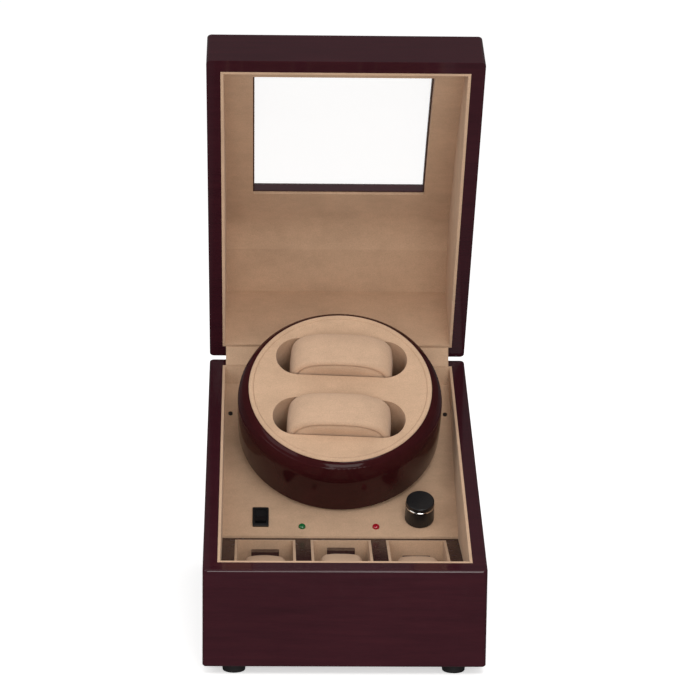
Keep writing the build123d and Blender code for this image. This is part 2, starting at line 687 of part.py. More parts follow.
with BuildPart() as bracket_screws:
    with BuildSketch(deck_plane(0, SHAFT_ROW - 4, -DECK_THICK - BRACKET_THICK)):
        with GridLocations(2 * BRACKET_HALF_X + 8, 18, 2, 2):
            Circle(2.6)
    extrude(amount=-1.6)
    with BuildSketch(deck_plane(0, SHAFT_ROW - 4, -DECK_THICK - BRACKET_THICK)):
        with GridLocations(2 * BRACKET_HALF_X + 8, 18, 2, 2):
            Circle(1.45)
    extrude(amount=BRACKET_THICK)
keep(bracket_screws.part, "bracket_screws")

with BuildPart() as lower_bush:
    with BuildSketch(mount.offset(BRACKET_Z)):
        Circle(BUSH_R - 0.02)
        Circle(SHAFT_BORE, mode=Mode.SUBTRACT)
    extrude(amount=-BRACKET_THICK)
    with BuildSketch(mount.offset(BRACKET_Z)):
        Circle(BUSH_R + 2)
        Circle(SHAFT_BORE, mode=Mode.SUBTRACT)
    extrude(amount=2)
keep(lower_bush.part, "lower_shaft_bush")

with BuildPart() as gear_motor:
    with BuildSketch(mount.offset(BRACKET_Z - BRACKET_THICK)):
        with Locations((MOTOR_X, 0)):
            Circle(MOTOR_R)
    extrude(amount=-MOTOR_LEN)
    fillet(gear_motor.edges().filter_by(GeomType.CIRCLE).sort_by(Axis((0, 0, 0), DRUM_AXIS))[0], radius=1.5)
    with BuildSketch(mount.offset(BRACKET_Z - BRACKET_THICK)):
        with Locations((MOTOR_X, 0)):
            Circle(3.1)
            Circle(1.05, mode=Mode.SUBTRACT)
    extrude(amount=BRACKET_THICK + 0.8)
    with BuildSketch(mount.offset(BRACKET_Z)):
        with Locations((MOTOR_X, 0)):
            Circle(1.05)
    extrude(amount=-12, mode=Mode.SUBTRACT)
keep(gear_motor.part, "gear_motor")

with BuildPart() as motor_pulley:
    motor_section = Plane(
        origin=mount.from_local_coords((MOTOR_X, 0, 0)), x_dir=mount.x_dir, z_dir=mount.z_dir
    )
    motor_axis = Axis(motor_section.origin, DRUM_AXIS)
    add(turned(
        [
            (0, PULLEY_TOP),
            (MOTOR_PULLEY_R + 1.5, PULLEY_TOP),
            (MOTOR_PULLEY_R + 1.5, PULLEY_TOP - 1),
            (MOTOR_PULLEY_R, PULLEY_TOP - 1),
            (MOTOR_PULLEY_R, PULLEY_TOP - PULLEY_THICK + 1),
            (MOTOR_PULLEY_R + 1.5, PULLEY_TOP - PULLEY_THICK + 1),
            (MOTOR_PULLEY_R + 1.5, PULLEY_TOP - PULLEY_THICK),
            (1.0, PULLEY_TOP - PULLEY_THICK),
            (1.0, BRACKET_Z - 10),
            (0, BRACKET_Z - 10),
        ],
        motor_section,
    ))
    revolve(axis=motor_axis)
keep(motor_pulley.part, "motor_pulley")

BELT_GAP = 0.25
BELT_THICK = 1.2


def belt_outline(extra):
    """Closed loop round both pulleys: two arcs and their outer tangents, at extra over the grooves."""
    big, small = PULLEY_R + extra, MOTOR_PULLEY_R + extra
    lean = degrees(atan2(big - small, (MOTOR_X**2 - (big - small) ** 2) ** 0.5))
    turn = 90 - lean
    with BuildSketch(mode=Mode.PRIVATE) as loop:
        Circle(big)
        with Locations((MOTOR_X, 0)):
            Circle(small)
        with BuildLine():
            Polyline(
                (big * cos(radians(turn)), big * sin(radians(turn))),
                (MOTOR_X + small * cos(radians(turn)), small * sin(radians(turn))),
                (MOTOR_X + small * cos(radians(turn)), -small * sin(radians(turn))),
                (big * cos(radians(turn)), -big * sin(radians(turn))),
                close=True,
            )
        make_face()
    return loop.sketch


with BuildPart() as drive_belt:
    with BuildSketch(mount.offset(PULLEY_TOP - 1.2)):
        add(belt_outline(BELT_GAP + BELT_THICK))
        add(belt_outline(BELT_GAP), mode=Mode.SUBTRACT)
    extrude(amount=-(PULLEY_THICK - 2.4))
keep(drive_belt.part, "drive_belt")

with BuildPart() as control_board:
    with BuildSketch(Plane.XY.offset(BOARD_Z)):
        with Locations((-20, 60)):
            Rectangle(60, 44)
    extrude(amount=1.6)
    with BuildSketch(Plane.XY.offset(BOARD_Z + 1.6)):
        with Locations((-28, 62)):
            Rectangle(10, 8)
        with Locations((-6, 70)):
            Rectangle(14, 6)
        with Locations((-10, 50), (-2, 50)):
            Circle(3)
    extrude(amount=3.2)
    with BuildSketch(Plane.XY.offset(FLOOR_THICK)):
        with Locations((-46, 42), (6, 42), (-46, 78), (6, 78)):
            Circle(2.6)
    extrude(amount=BOARD_Z - FLOOR_THICK)
keep(control_board.part, "control_board")

with BuildPart() as power_inlet:
    with BuildSketch(Plane.XZ.offset(-front(DEPTH))):
        with Locations((60, 24)):
            Circle(7.5)
    extrude(amount=-1.6)
    with BuildSketch(Plane.XZ.offset(-front(DEPTH))):
        with Locations((60, 24)):
            Circle(5.4)
    extrude(amount=WALL + LINER - 2.2)
    with BuildSketch(Plane.XZ.offset(-front(DEPTH) - 1.6)):
        with Locations((60, 24)):
            Circle(2.75)
    extrude(amount=9.5, mode=Mode.SUBTRACT)
    with BuildSketch(Plane.XZ.offset(-front(DEPTH) + 8.0)):
        with Locations((60, 24)):
            Circle(1.0)
    extrude(amount=-7.5)
keep(power_inlet.part, "power_inlet")

# ---------------------------------------------------------------- lid, drawn closed
LID_NOSE = (0.0, FRONT_RIM + LID_FRONT)
CHORD = atan2(LID_KNEE[1] - LID_NOSE[1], LID_KNEE[0])


def bowed(nose, knee):
    """Middle point of the slanted window face between two ends, raised by the camber."""
    return (
        (nose[0] + knee[0]) / 2 - LID_CAMBER * sin(CHORD),
        (nose[1] + knee[1]) / 2 + LID_CAMBER * cos(CHORD),
    )


def lid_section(nose, knee, crown, back, low, back_foot=None):
    """Side section of the lid on the YZ plane: front wall, slanted face, flat top, back wall, rim."""
    foot = back_foot or back[0]
    corners = [(front(y), z) for y, z in (nose, bowed(nose, knee), knee, crown, back)]
    with BuildSketch(Plane.YZ, mode=Mode.PRIVATE) as section:
        with BuildLine():
            slant = ThreePointArc(*corners[:3])
            TangentArc(corners[2], corners[3], tangent=slant % 1)
            Polyline(
                corners[3],
                corners[4],
                (front(foot), rim(foot) + low),
                (front(nose[0]), rim(nose[0]) + low),
                corners[0],
            )
        make_face()
    return section.sketch


def wood_section(inset, low=LID_GAP, wall=None):
    """The lid's wooden section, shrunk by inset from the outside; wall is the inset of front and back."""
    wall = inset if wall is None else wall
    nose = (wall, LID_NOSE[1] + wall * tan(CHORD) - inset / cos(CHORD))
    knee = (LID_KNEE[0] + inset * 0.3, LID_KNEE[1] - inset * 0.95)
    return lid_section(nose, knee, (LID_FLAT, LID_TOP - inset), (DEPTH - wall, LID_TOP - inset), low)


window_plane = Plane(origin=(0, front(0), LID_NOSE[1]), x_dir=(1, 0, 0), z_dir=(0, -sin(CHORD), cos(CHORD)))
WINDOW_W = 121.5
WINDOW_LOW = 27.0  # window edges, measured up the slanted face from the lid's front edge
WINDOW_HIGH = 180.0
PANE_LIP = 5.0  # how far the pane laps over the opening's edge
PANE_DEEP = 4.5  # depth of the pane's seat below the outer face
PANE_THICK = 3.0
REACH = 60.0


def window_prism(lip):
    """A prism through the lid's slanted face: the window opening grown by lip on every side."""
    with BuildPart() as prism:
        with BuildSketch(window_plane.offset(REACH / 2)):
            with Locations((0, (WINDOW_LOW + WINDOW_HIGH) / 2)):
                Rectangle(WINDOW_W + 2 * lip, WINDOW_HIGH - WINDOW_LOW + 2 * lip)
        extrude(amount=-REACH)
    return prism.part


with BuildPart() as pane_seat:
    extrude(wood_section(-2, wall=0), amount=WIDTH / 2, both=True)
    extrude(wood_section(PANE_DEEP, wall=0), amount=WIDTH / 2, both=True, mode=Mode.SUBTRACT)
    add(window_prism(PANE_LIP), mode=Mode.INTERSECT)

with BuildPart() as lid_shell:
    extrude(wood_section(0), amount=WIDTH / 2, both=True)
    fillet(lid_shell.edges().filter_by(Axis.Z), radius=EDGE_ROUND)
    top_edges = lid_shell.faces().filter_by(lambda f: f.normal_at().Z > 0.3).edges()
    fillet(top_edges.filter_by(lambda e: abs(e.center().X) > WIDTH / 2 - 0.1), radius=RIM_ROUND)
    extrude(wood_section(LID_BOARD, low=-5, wall=WALL), amount=INNER_X, both=True, mode=Mode.SUBTRACT)
    add(window_prism(0), mode=Mode.SUBTRACT)
    add(pane_seat.part, mode=Mode.SUBTRACT)
    add(hinge_seats(1), mode=Mode.SUBTRACT)
keep(lid_shell.part, "lid_shell", opened=True)

with BuildPart() as lid_window:
    extrude(wood_section(PANE_DEEP - PANE_THICK, wall=0), amount=WIDTH / 2, both=True)
    extrude(wood_section(PANE_DEEP, wall=0), amount=WIDTH / 2, both=True, mode=Mode.SUBTRACT)
    add(window_prism(PANE_LIP - 0.1), mode=Mode.INTERSECT)
keep(lid_window.part, "lid_window", opened=True)

# The velvet boards of the lid. The top board is thicker at the front, and the back board leans in.
TOP_NOSE = (WALL + LINER, 92.0)
TOP_KNEE = (186.0, 203.5)
TOP_LEVEL = 206.0
BACK_LEAN = 10.7  # how far the back board's inner face leans forward at the top


def lid_room(low):
    """Clear section inside the lid's velvet boards."""
    back = (CLEAR_BACK - BACK_LEAN, TOP_LEVEL)
    return lid_section(TOP_NOSE, TOP_KNEE, (215, TOP_LEVEL), back, low, back_foot=CLEAR_BACK)


with BuildPart() as lid_side_liners:
    extrude(wood_section(LID_BOARD, wall=WALL), amount=INNER_X, both=True)
    extrude(wood_section(LID_BOARD - 5, low=-5, wall=0), amount=CLEAR_X, both=True, mode=Mode.SUBTRACT)
keep(lid_side_liners.part, "lid_side_liners", opened=True)

with BuildPart() as lid_top_liner:
    extrude(wood_section(LID_BOARD, wall=WALL), amount=CLEAR_X, both=True)
    extrude(lid_room(-5), amount=CLEAR_X, both=True, mode=Mode.SUBTRACT)
    split(bisect_by=Plane(origin=(0, front(WALL + LINER), 0), z_dir=(0, 1, 0)), keep=Keep.TOP)
    split(bisect_by=Plane(origin=(0, front(CLEAR_BACK - BACK_LEAN), 0), z_dir=(0, -1, 0)), keep=Keep.TOP)
    add(window_prism(1), mode=Mode.SUBTRACT)
keep(lid_top_liner.part, "lid_top_liner", opened=True)

with BuildPart() as lid_back_liner:
    with BuildSketch(Plane.YZ.offset(-CLEAR_X)):
        with BuildLine():
            Polyline(
                (front(CLEAR_BACK), rim(CLEAR_BACK) + LID_GAP),
                (front(DEPTH - WALL), rim(DEPTH - WALL) + LID_GAP),
                (front(DEPTH - WALL), LID_TOP - LID_BOARD),
                (front(CLEAR_BACK - BACK_LEAN), LID_TOP - LID_BOARD),
                (front(CLEAR_BACK - BACK_LEAN), TOP_LEVEL),
                close=True,
            )
        make_face()
    extrude(amount=2 * CLEAR_X)
keep(lid_back_liner.part, "lid_back_liner", opened=True)

with BuildPart() as lid_front_liner:
    nose_top = LID_NOSE[1] + WALL * tan(CHORD) - LID_BOARD / cos(CHORD)
    with BuildSketch(Plane.YZ.offset(-CLEAR_X)):
        with BuildLine():
            Polyline(
                (front(WALL), rim(WALL) + LID_GAP),
                (front(WALL + LINER), rim(WALL + LINER) + LID_GAP),
                (front(WALL + LINER), nose_top),
                (front(WALL), nose_top),
                close=True,
            )
        make_face()
    extrude(amount=2 * CLEAR_X)
keep(lid_front_liner.part, "lid_front_liner", opened=True)

# ---------------------------------------------------------------- hinges
KNUCKLES = 5
KNUCKLE = HINGE_LENGTH / KNUCKLES


def hinge_leaf(side, label, first, opened):
    """One leaf of each hinge: a flat plate on the rim and every second knuckle round the pin."""
    rise = 0 if side < 0 else LID_GAP
    with BuildPart() as leaves:
        for x in (-HINGE_X, HINGE_X):
            with BuildSketch(Plane.YZ.offset(x - HINGE_LENGTH / 2)):
                with BuildLine():
                    Polyline(
                        (front(DEPTH - WALL + 0.5), rim(DEPTH - WALL + 0.5) + rise),
                        (front(DEPTH), rim(DEPTH) + rise),
                        (front(DEPTH), rim(DEPTH) + rise + side * LEAF_THICK),
                        (front(DEPTH - WALL + 0.5), rim(DEPTH - WALL + 0.5) + rise + side * LEAF_THICK),
                        close=True,
                    )
                make_face()
            extrude(amount=HINGE_LENGTH)
            with BuildSketch(Plane.YZ.offset(x - HINGE_LENGTH / 2)):
                with Locations(HINGE):
                    Circle(BARREL_R + 0.3)
            extrude(amount=HINGE_LENGTH, mode=Mode.SUBTRACT)
            for k in range(first, KNUCKLES, 2):
                with BuildSketch(Plane.YZ.offset(x - HINGE_LENGTH / 2 + k * KNUCKLE + 0.1)):
                    with Locations(HINGE):
                        Circle(BARREL_R)
                    with BuildLine():
                        Polyline(
                            (front(DEPTH - 0.9), rim(DEPTH - 0.9) + rise),
                            (HINGE[0], HINGE[1]),
                            (HINGE[0], HINGE[1] + side * 1.6),
                            (front(DEPTH - 0.9), rim(DEPTH - 0.9) + rise + side * LEAF_THICK),
                            close=True,
                        )
                    make_face()
                extrude(amount=KNUCKLE - 0.2)
            with BuildSketch(Plane.YZ.offset(x - HINGE_LENGTH / 2)):
                with Locations(HINGE):
                    Circle(PIN_R)
            extrude(amount=HINGE_LENGTH, mode=Mode.SUBTRACT)
    keep(leaves.part, label, opened)


hinge_leaf(-1, "hinge_case_leaves", 0, False)
hinge_leaf(1, "hinge_lid_leaves", 1, True)

with BuildPart() as hinge_pins:
    for x in (-HINGE_X, HINGE_X):
        with BuildSketch(Plane.YZ.offset(x - HINGE_LENGTH / 2)):
            with Locations(HINGE):
                Circle(PIN_R - 0.02)
        extrude(amount=HINGE_LENGTH)
keep(hinge_pins.part, "hinge_pins")

# Velvet flap that closes the gap between the two back boards while the lid is open.
FLAP_THICK = 0.8
closed_edge = (front(CLEAR_BACK) - HINGE[0], rim(CLEAR_BACK) + LID_GAP - HINGE[1])
swing = radians(LID_OPEN)
open_edge = (
    HINGE[0] + closed_edge[0] * cos(swing) + closed_edge[1] * sin(swing),
    HINGE[1] - closed_edge[0] * sin(swing) + closed_edge[1] * cos(swing),
)
with BuildPart() as hinge_flap:
    with BuildSketch(Plane.YZ.offset(-CLEAR_X + 0.5)):
        with BuildLine():
            Polyline(
                (front(CLEAR_BACK) + 0.2, rim(CLEAR_BACK) + 0.3),
                (open_edge[0] + 0.2, open_edge[1] - 0.6),
                (open_edge[0] + 0.2 + FLAP_THICK, open_edge[1] - 1.8),
                (front(CLEAR_BACK) + 0.2 + FLAP_THICK, rim(CLEAR_BACK) + 0.55),
                close=True,
            )
        make_face()
    extrude(amount=2 * CLEAR_X - 1)
keep(hinge_flap.part, "hinge_flap")

for piece in pieces:
    export_step(piece, f"parts/{piece.label}.step")
print(len(pieces), "pieces")
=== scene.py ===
"""Watch winder box: materials, cushions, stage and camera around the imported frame."""

import json
import math

import bmesh
import bpy
from mathutils import Matrix, Vector, noise


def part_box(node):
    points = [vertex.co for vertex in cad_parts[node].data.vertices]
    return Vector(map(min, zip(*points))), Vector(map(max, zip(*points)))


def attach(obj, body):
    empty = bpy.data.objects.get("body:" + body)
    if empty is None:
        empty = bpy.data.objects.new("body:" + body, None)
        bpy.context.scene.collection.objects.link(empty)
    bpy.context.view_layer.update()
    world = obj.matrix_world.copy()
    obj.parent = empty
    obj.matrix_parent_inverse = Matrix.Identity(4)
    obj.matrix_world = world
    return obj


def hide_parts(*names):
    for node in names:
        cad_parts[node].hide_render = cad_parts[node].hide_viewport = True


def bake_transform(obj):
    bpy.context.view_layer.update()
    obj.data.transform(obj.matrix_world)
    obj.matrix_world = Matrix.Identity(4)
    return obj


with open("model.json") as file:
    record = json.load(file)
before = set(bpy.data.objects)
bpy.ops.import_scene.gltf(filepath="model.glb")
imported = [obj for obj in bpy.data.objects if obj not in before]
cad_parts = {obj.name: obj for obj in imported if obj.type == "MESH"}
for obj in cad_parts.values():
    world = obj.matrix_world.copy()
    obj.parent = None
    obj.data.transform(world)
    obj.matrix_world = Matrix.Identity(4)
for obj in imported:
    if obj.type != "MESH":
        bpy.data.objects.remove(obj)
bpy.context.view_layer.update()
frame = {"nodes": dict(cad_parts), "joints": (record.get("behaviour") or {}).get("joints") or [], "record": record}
nodes = frame["nodes"]
record = frame["record"]
scene = bpy.context.scene


# ---------------------------------------------------------------- node helpers
def new_material(name):
    """A material with its Principled shader and the object's own coordinates."""
    material = bpy.data.materials.new(name)
    material.use_nodes = True
    tree = material.node_tree
    shader = tree.nodes["Principled BSDF"]
    coordinates = tree.nodes.new("ShaderNodeTexCoord").outputs["Object"]
    return material, tree, shader, coordinates


def scaled(tree, vector, scale):
    mapping = tree.nodes.new("ShaderNodeMapping")
    mapping.inputs["Scale"].default_value = scale
    tree.links.new(vector, mapping.inputs["Vector"])
    return mapping.outputs["Vector"]


def noise_value(tree, vector, scale, detail=3.0, rough=0.55, distortion=0.0):
    node = tree.nodes.new("ShaderNodeTexNoise")
    node.inputs["Scale"].default_value = scale
    node.inputs["Detail"].default_value = detail
    node.inputs["Roughness"].default_value = rough
    node.inputs["Distortion"].default_value = distortion
    tree.links.new(vector, node.inputs["Vector"])
    return node.outputs["Fac"]


def ramp(tree, value, stops):
    node = tree.nodes.new("ShaderNodeValToRGB")
    elements = node.color_ramp.elements
    elements[0].position, elements[0].color = stops[0][0], (*stops[0][1], 1)
    elements[1].position, elements[1].color = stops[-1][0], (*stops[-1][1], 1)
    for place, colour in stops[1:-1]:
        element = elements.new(place)
        element.color = (*colour, 1)
    tree.links.new(value, node.inputs["Fac"])
    return node.outputs["Color"]


def spread(tree, value, low, high, start=0.3, stop=0.7):
    node = tree.nodes.new("ShaderNodeMapRange")
    node.inputs["From Min"].default_value = start
    node.inputs["From Max"].default_value = stop
    node.inputs["To Min"].default_value = low
    node.inputs["To Max"].default_value = high
    tree.links.new(value, node.inputs["Value"])
    return node.outputs["Result"]


def multiply(tree, colour, value):
    """colour times a grey value."""
    node = tree.nodes.new("ShaderNodeMix")
    node.data_type = "RGBA"
    node.blend_type = "MULTIPLY"
    node.inputs["Factor"].default_value = 1.0
    tree.links.new(colour, node.inputs["A"])
    tree.links.new(value, node.inputs["B"])
    return node.outputs["Result"]


def bump(tree, shader, height, distance, strength=1.0, below=None):
    node = tree.nodes.new("ShaderNodeBump")
    node.inputs["Distance"].default_value = distance
    node.inputs["Strength"].default_value = strength
    tree.links.new(height, node.inputs["Height"])
    if below is not None:
        tree.links.new(below, node.inputs["Normal"])
    tree.links.new(node.outputs["Normal"], shader.inputs["Normal"])
    return node.outputs["Normal"]


# ---------------------------------------------------------------- materials
def velvet(name, colour, mottle=0.07, pile=1.0):
    """Short-pile velvet: soft mottling where the pile lies differently, fine fibre bump and sheen."""
    material, tree, shader, at = new_material(name)
    cloud = noise_value(tree, at, 38.0, 3.0, 0.6)
    streak = noise_value(tree, scaled(tree, at, (90, 220, 160)), 1.0, 4.0, 0.65)
    fleck = noise_value(tree, at, 1400.0, 2.0, 0.7)
    dark = tuple(c * (1 - mottle) for c in colour)
    light = tuple(min(1.0, c * (1 + mottle)) for c in colour)
    tone = ramp(tree, cloud, [(0.3, dark), (0.5, colour), (0.72, light)])
    tone = multiply(tree, tone, spread(tree, streak, 0.95, 1.03))
    tone = multiply(tree, tone, spread(tree, fleck, 0.88, 1.08))
    tree.links.new(tone, shader.inputs["Base Color"])
    shader.inputs["Roughness"].default_value = 0.96
    shader.inputs["Specular IOR Level"].default_value = 0.18
    shader.inputs["Sheen Weight"].default_value = 0.22
    shader.inputs["Sheen Roughness"].default_value = 0.45
    shader.inputs["Sheen Tint"].default_value = (1.0, 0.86, 0.72, 1)
    soft = bump(tree, shader, cloud, 0.0009 * pile, 0.5)
    fine = noise_value(tree, at, 2600.0, 3.0, 0.75)
    bump(tree, shader, fine, 0.00022 * pile, 0.8, soft)
    return material


def lacquer(
    name, low, mid, high, grain=(18, 240, 240), gloss=0.1, specular=0.32, coat=0.35
):
    """Stained wood under clear gloss: faint streaked figure below, a slight ripple in the lacquer above."""
    material, tree, shader, at = new_material(name)
    figure = noise_value(tree, scaled(tree, at, grain), 1.0, 6.0, 0.62, 0.4)
    cloud = noise_value(tree, at, 14.0, 2.0)
    pores = noise_value(tree, scaled(tree, at, tuple(g * 9 for g in grain)), 1.0, 3.0, 0.7)
    tone = ramp(tree, figure, [(0.25, low), (0.5, mid), (0.78, high)])
    tone = multiply(tree, tone, spread(tree, cloud, 0.93, 1.06))
    tone = multiply(tree, tone, spread(tree, pores, 0.94, 1.02, 0.35, 0.6))
    tree.links.new(tone, shader.inputs["Base Color"])
    rough = spread(tree, noise_value(tree, at, 160.0, 4.0), gloss * 0.8, gloss * 1.35)
    tree.links.new(rough, shader.inputs["Roughness"])
    shader.inputs["Specular IOR Level"].default_value = specular
    shader.inputs["Coat Weight"].default_value = coat
    shader.inputs["Coat Roughness"].default_value = 0.04
    bump(tree, shader, noise_value(tree, at, 70.0, 2.0), 0.00008, 0.35)
    return material


def moulded(name, colour, rough=0.4, specular=0.4, texture=0.00004):
    material, tree, shader, at = new_material(name)
    cloud = noise_value(tree, at, 120.0, 3.0)
    darker = tuple(c * 0.88 for c in colour)
    lighter = tuple(min(1, c * 1.1) for c in colour)
    tone = ramp(tree, cloud, [(0.3, darker), (0.7, lighter)])
    tree.links.new(tone, shader.inputs["Base Color"])
    uneven = spread(tree, noise_value(tree, at, 900.0, 4.0), rough * 0.85, rough * 1.15)
    tree.links.new(uneven, shader.inputs["Roughness"])
    shader.inputs["Specular IOR Level"].default_value = specular
    bump(tree, shader, noise_value(tree, at, 3000.0, 2.0), texture, 0.6)
    return material


def metal(name, colour, rough, brushed=(400, 400, 400), texture=0.00002):
    material, tree, shader, at = new_material(name)
    streak = noise_value(tree, scaled(tree, at, brushed), 1.0, 4.0, 0.6)
    tone = ramp(tree, streak, [(0.3, tuple(c * 0.85 for c in colour)), (0.7, colour)])
    tree.links.new(tone, shader.inputs["Base Color"])
    shader.inputs["Metallic"].default_value = 1.0
    tree.links.new(spread(tree, streak, rough * 0.7, rough * 1.3), shader.inputs["Roughness"])
    bump(tree, shader, streak, texture, 0.5)
    return material


def lens(name, colour):
    """Tinted epoxy lamp: deep colour with a clear, glossy skin."""
    material, tree, shader, at = new_material(name)
    cloud = noise_value(tree, at, 900.0, 2.0)
    tone = ramp(tree, cloud, [(0.3, tuple(c * 0.75 for c in colour)), (0.7, colour)])
    tree.links.new(tone, shader.inputs["Base Color"])
    shader.inputs["Roughness"].default_value = 0.12
    shader.inputs["Coat Weight"].default_value = 1.0
    shader.inputs["Coat Roughness"].default_value = 0.02
    shader.inputs["Subsurface Weight"].default_value = 0.15
    shader.inputs["Subsurface Radius"].default_value = (0.002, 0.001, 0.001)
    return material


def clear_pane(name):
    material, tree, shader, at = new_material(name)
    haze = noise_value(tree, at, 30.0, 3.0)
    tree.links.new(spread(tree, haze, 0.015, 0.05), shader.inputs["Roughness"])
    shader.inputs["Base Color"].default_value = (0.93, 0.95, 0.95, 1)
    shader.inputs["Alpha"].default_value = 0.08
    shader.inputs["IOR"].default_value = 1.49
    shader.inputs["Specular IOR Level"].default_value = 0.4
    return material


def raw_wood(name, colour):
    material, tree, shader, at = new_material(name)
    rings = noise_value(tree, scaled(tree, at, (60, 12, 420)), 1.0, 5.0, 0.6, 0.6)
    tone = ramp(tree, rings, [(0.3, tuple(c * 0.7 for c in colour)), (0.7, colour)])
    tree.links.new(tone, shader.inputs["Base Color"])
    shader.inputs["Roughness"].default_value = 0.7
    bump(tree, shader, rings, 0.0002, 0.5)
    return material


TAN = (0.60, 0.405, 0.27)
materials = {
    "lacquered_wood": lacquer(
        "lacquered_wood", (0.031, 0.0066, 0.0106), (0.038, 0.0078, 0.0125), (0.046, 0.0095, 0.0142)
    ),
    "drum_lacquer": lacquer(
        "drum_lacquer",
        (0.030, 0.0055, 0.006),
        (0.037, 0.0065, 0.0075),
        (0.045, 0.008, 0.0095),
        grain=(30, 30, 30),
        gloss=0.10,
        specular=0.12,
        coat=0.0,
    ),
    "base_board": lacquer(
        "base_board",
        (0.02, 0.007, 0.007),
        (0.034, 0.012, 0.012),
        (0.05, 0.02, 0.018),
        grain=(30, 160, 160),
        gloss=0.4,
    ),
    "batten_wood": raw_wood("batten_wood", (0.5, 0.36, 0.22)),
    "velvet": velvet("velvet", TAN),
    "cushion_velvet": velvet("cushion_velvet", (0.62, 0.42, 0.285), 0.06, 1.3),
    "black_plastic": moulded("black_plastic", (0.010, 0.010, 0.011), 0.32),
    "dark_plastic": moulded("dark_plastic", (0.012, 0.010, 0.010), 0.38),
    "nylon": moulded("nylon", (0.72, 0.70, 0.64), 0.45),
    "chrome": metal("chrome", (0.78, 0.77, 0.75), 0.1),
    "steel": metal("steel", (0.55, 0.55, 0.56), 0.34, (900, 60, 60)),
    "brass": metal("brass", (0.72, 0.5, 0.2), 0.22, (80, 700, 700)),
    "rubber": moulded("rubber", (0.014, 0.013, 0.014), 0.62, 0.3, 0.0001),
    "pane": clear_pane("pane"),
    "green_lens": lens("green_lens", (0.01, 0.16, 0.045)),
    "red_lens": lens("red_lens", (0.42, 0.008, 0.022)),
    "board": moulded("board", (0.01, 0.12, 0.04), 0.3),
}
core_card = lacquer(
    "core_card",
    (0.020, 0.006, 0.008),
    (0.034, 0.010, 0.012),
    (0.05, 0.016, 0.016),
    grain=(60, 60, 60),
    gloss=0.3,
)
# the tray's lacquer: a less glossy copy of the case lacquer whose darker base tone is painted shade for the tray
# sunk between the deck and the front rim
shaded_tray_lacquer = lacquer(
    "shaded_tray_lacquer",
    (0.020, 0.006, 0.009),
    (0.026, 0.0075, 0.011),
    (0.033, 0.009, 0.013),
    gloss=0.22,
    specular=0.12,
    coat=0.0,
)


def paint(obj, material):
    obj.data.materials.clear()
    obj.data.materials.append(material)


slots = {entry["node"]: entry["material_slot"] for entry in record["subparts"]}
for name, obj in nodes.items():
    paint(obj, materials[slots[name]])
paint(nodes["storage_tray"], shaded_tray_lacquer)
for number in (1, 2, 3):
    paint(nodes[f"storage_cushion_core_{number}"], core_card)


# ---------------------------------------------------------------- watch cushions
EDGE_STEPS = 6  # round a cushion's edge
STRIP_STEPS = 6  # across a cushion's strip
STRIP_CROWN = 0.5e-3
SEAM_GAP = 0.35e-3


def superloop(half_u, half_w, power_top, power_low, count=72):
    """Closed outline in (u, w); a higher power is squarer, and top and underside have their own."""
    points = []
    for k in range(count):
        angle = 2 * math.pi * (k + 0.5) / count
        c, s = math.cos(angle), math.sin(angle)
        power = power_top if s > 0 else power_low
        points.append(
            (
                half_u * math.copysign(abs(c) ** (2 / power), c),
                half_w * math.copysign(abs(s) ** (2 / power), s),
            )
        )
    return points


def stuffed_roll(name, half_u, half_w, half_v, edge, place, power_top, power_low, seed):
    """A watch cushion: a strip of velvet wrapped round it, rounded over both edges, and end panels sewn in.

    u is its length, w its height and v its width; place turns (u, v, w) into the frame."""
    # across the rounded edge, from the flat strip (inset 0) to the end panel (inset edge)
    profile = []
    for k in range(EDGE_STEPS + 1):
        angle = math.pi / 2 * k / EDGE_STEPS
        profile.append((edge * (1 - math.cos(angle)), half_v - edge + edge * math.sin(angle)))
    mesh = bpy.data.meshes.new(name)
    build = bmesh.new()

    def ring(inset, v, scale=1.0):
        loop = superloop((half_u - inset) * scale, (half_w - inset) * scale, power_top, power_low)
        made = []
        for u, w in loop:
            wave = noise.noise(Vector((u * 55 + seed, v * 70, w * 55))) * 0.35e-3
            wave += noise.noise(Vector((u * 160 + seed, v * 190, w * 160 + 4))) * 0.12e-3
            radial = Vector((u, 0, w))
            shift = radial.normalized() * wave if radial.length > 1e-6 else Vector()
            point = Vector((u, v, w)) + shift
            made.append(build.verts.new(place(point.x, point.y, point.z)))
        return made

    # one end panel from its middle to the seam: (inset, distance from the cushion's middle, scale)
    seam = edge + SEAM_GAP
    panel = [
        (seam + 0.2e-3, half_v - 0.1e-3, 0.35),
        (seam + 0.2e-3, half_v + 0.1e-3, 0.75),
        (seam + 0.9e-3, half_v - 0.05e-3, 1.0),
        (seam, half_v - 0.75e-3, 1.0),
        (edge - 0.15e-3, half_v - 0.65e-3, 1.0),
    ]
    rows = [ring(inset, -v, scale) for inset, v, scale in panel]
    rows += [ring(inset, -(v - 0.05e-3)) for inset, v in reversed(profile)]
    for k in range(1, STRIP_STEPS):
        t = -1 + 2 * k / STRIP_STEPS
        rows.append(ring(-STRIP_CROWN * (1 - t * t), (half_v - edge) * t))
    rows += [ring(inset, v - 0.05e-3) for inset, v in profile]
    rows += [ring(inset, v, scale) for inset, v, scale in reversed(panel)]
    for row, following in zip(rows, rows[1:]):
        for k in range(len(row)):
            n = (k + 1) % len(row)
            build.faces.new((row[k], row[n], following[n], following[k]))
    build.faces.new(list(reversed(rows[0])))
    build.faces.new(rows[-1])
    bmesh.ops.recalc_face_normals(build, faces=build.faces)
    build.to_mesh(mesh)
    build.free()
    for polygon in mesh.polygons:
        polygon.use_smooth = True
    obj = bpy.data.objects.new(name, mesh)
    scene.collection.objects.link(obj)
    paint(obj, materials["cushion_velvet"])
    return obj


# the drum's own directions, from its joint
spin = next(j for j in frame["joints"] if j["name"] == "drum_spin")
axis = Vector(spin["axis"]).normalized()
centre = Vector(spin["pos_m"])
DRUM_TURN = math.radians(2.5)  # the two rows are turned a little at rest
across = Matrix.Rotation(-DRUM_TURN, 3, axis) @ Vector((1, 0, 0))
up_slope = axis.cross(across)

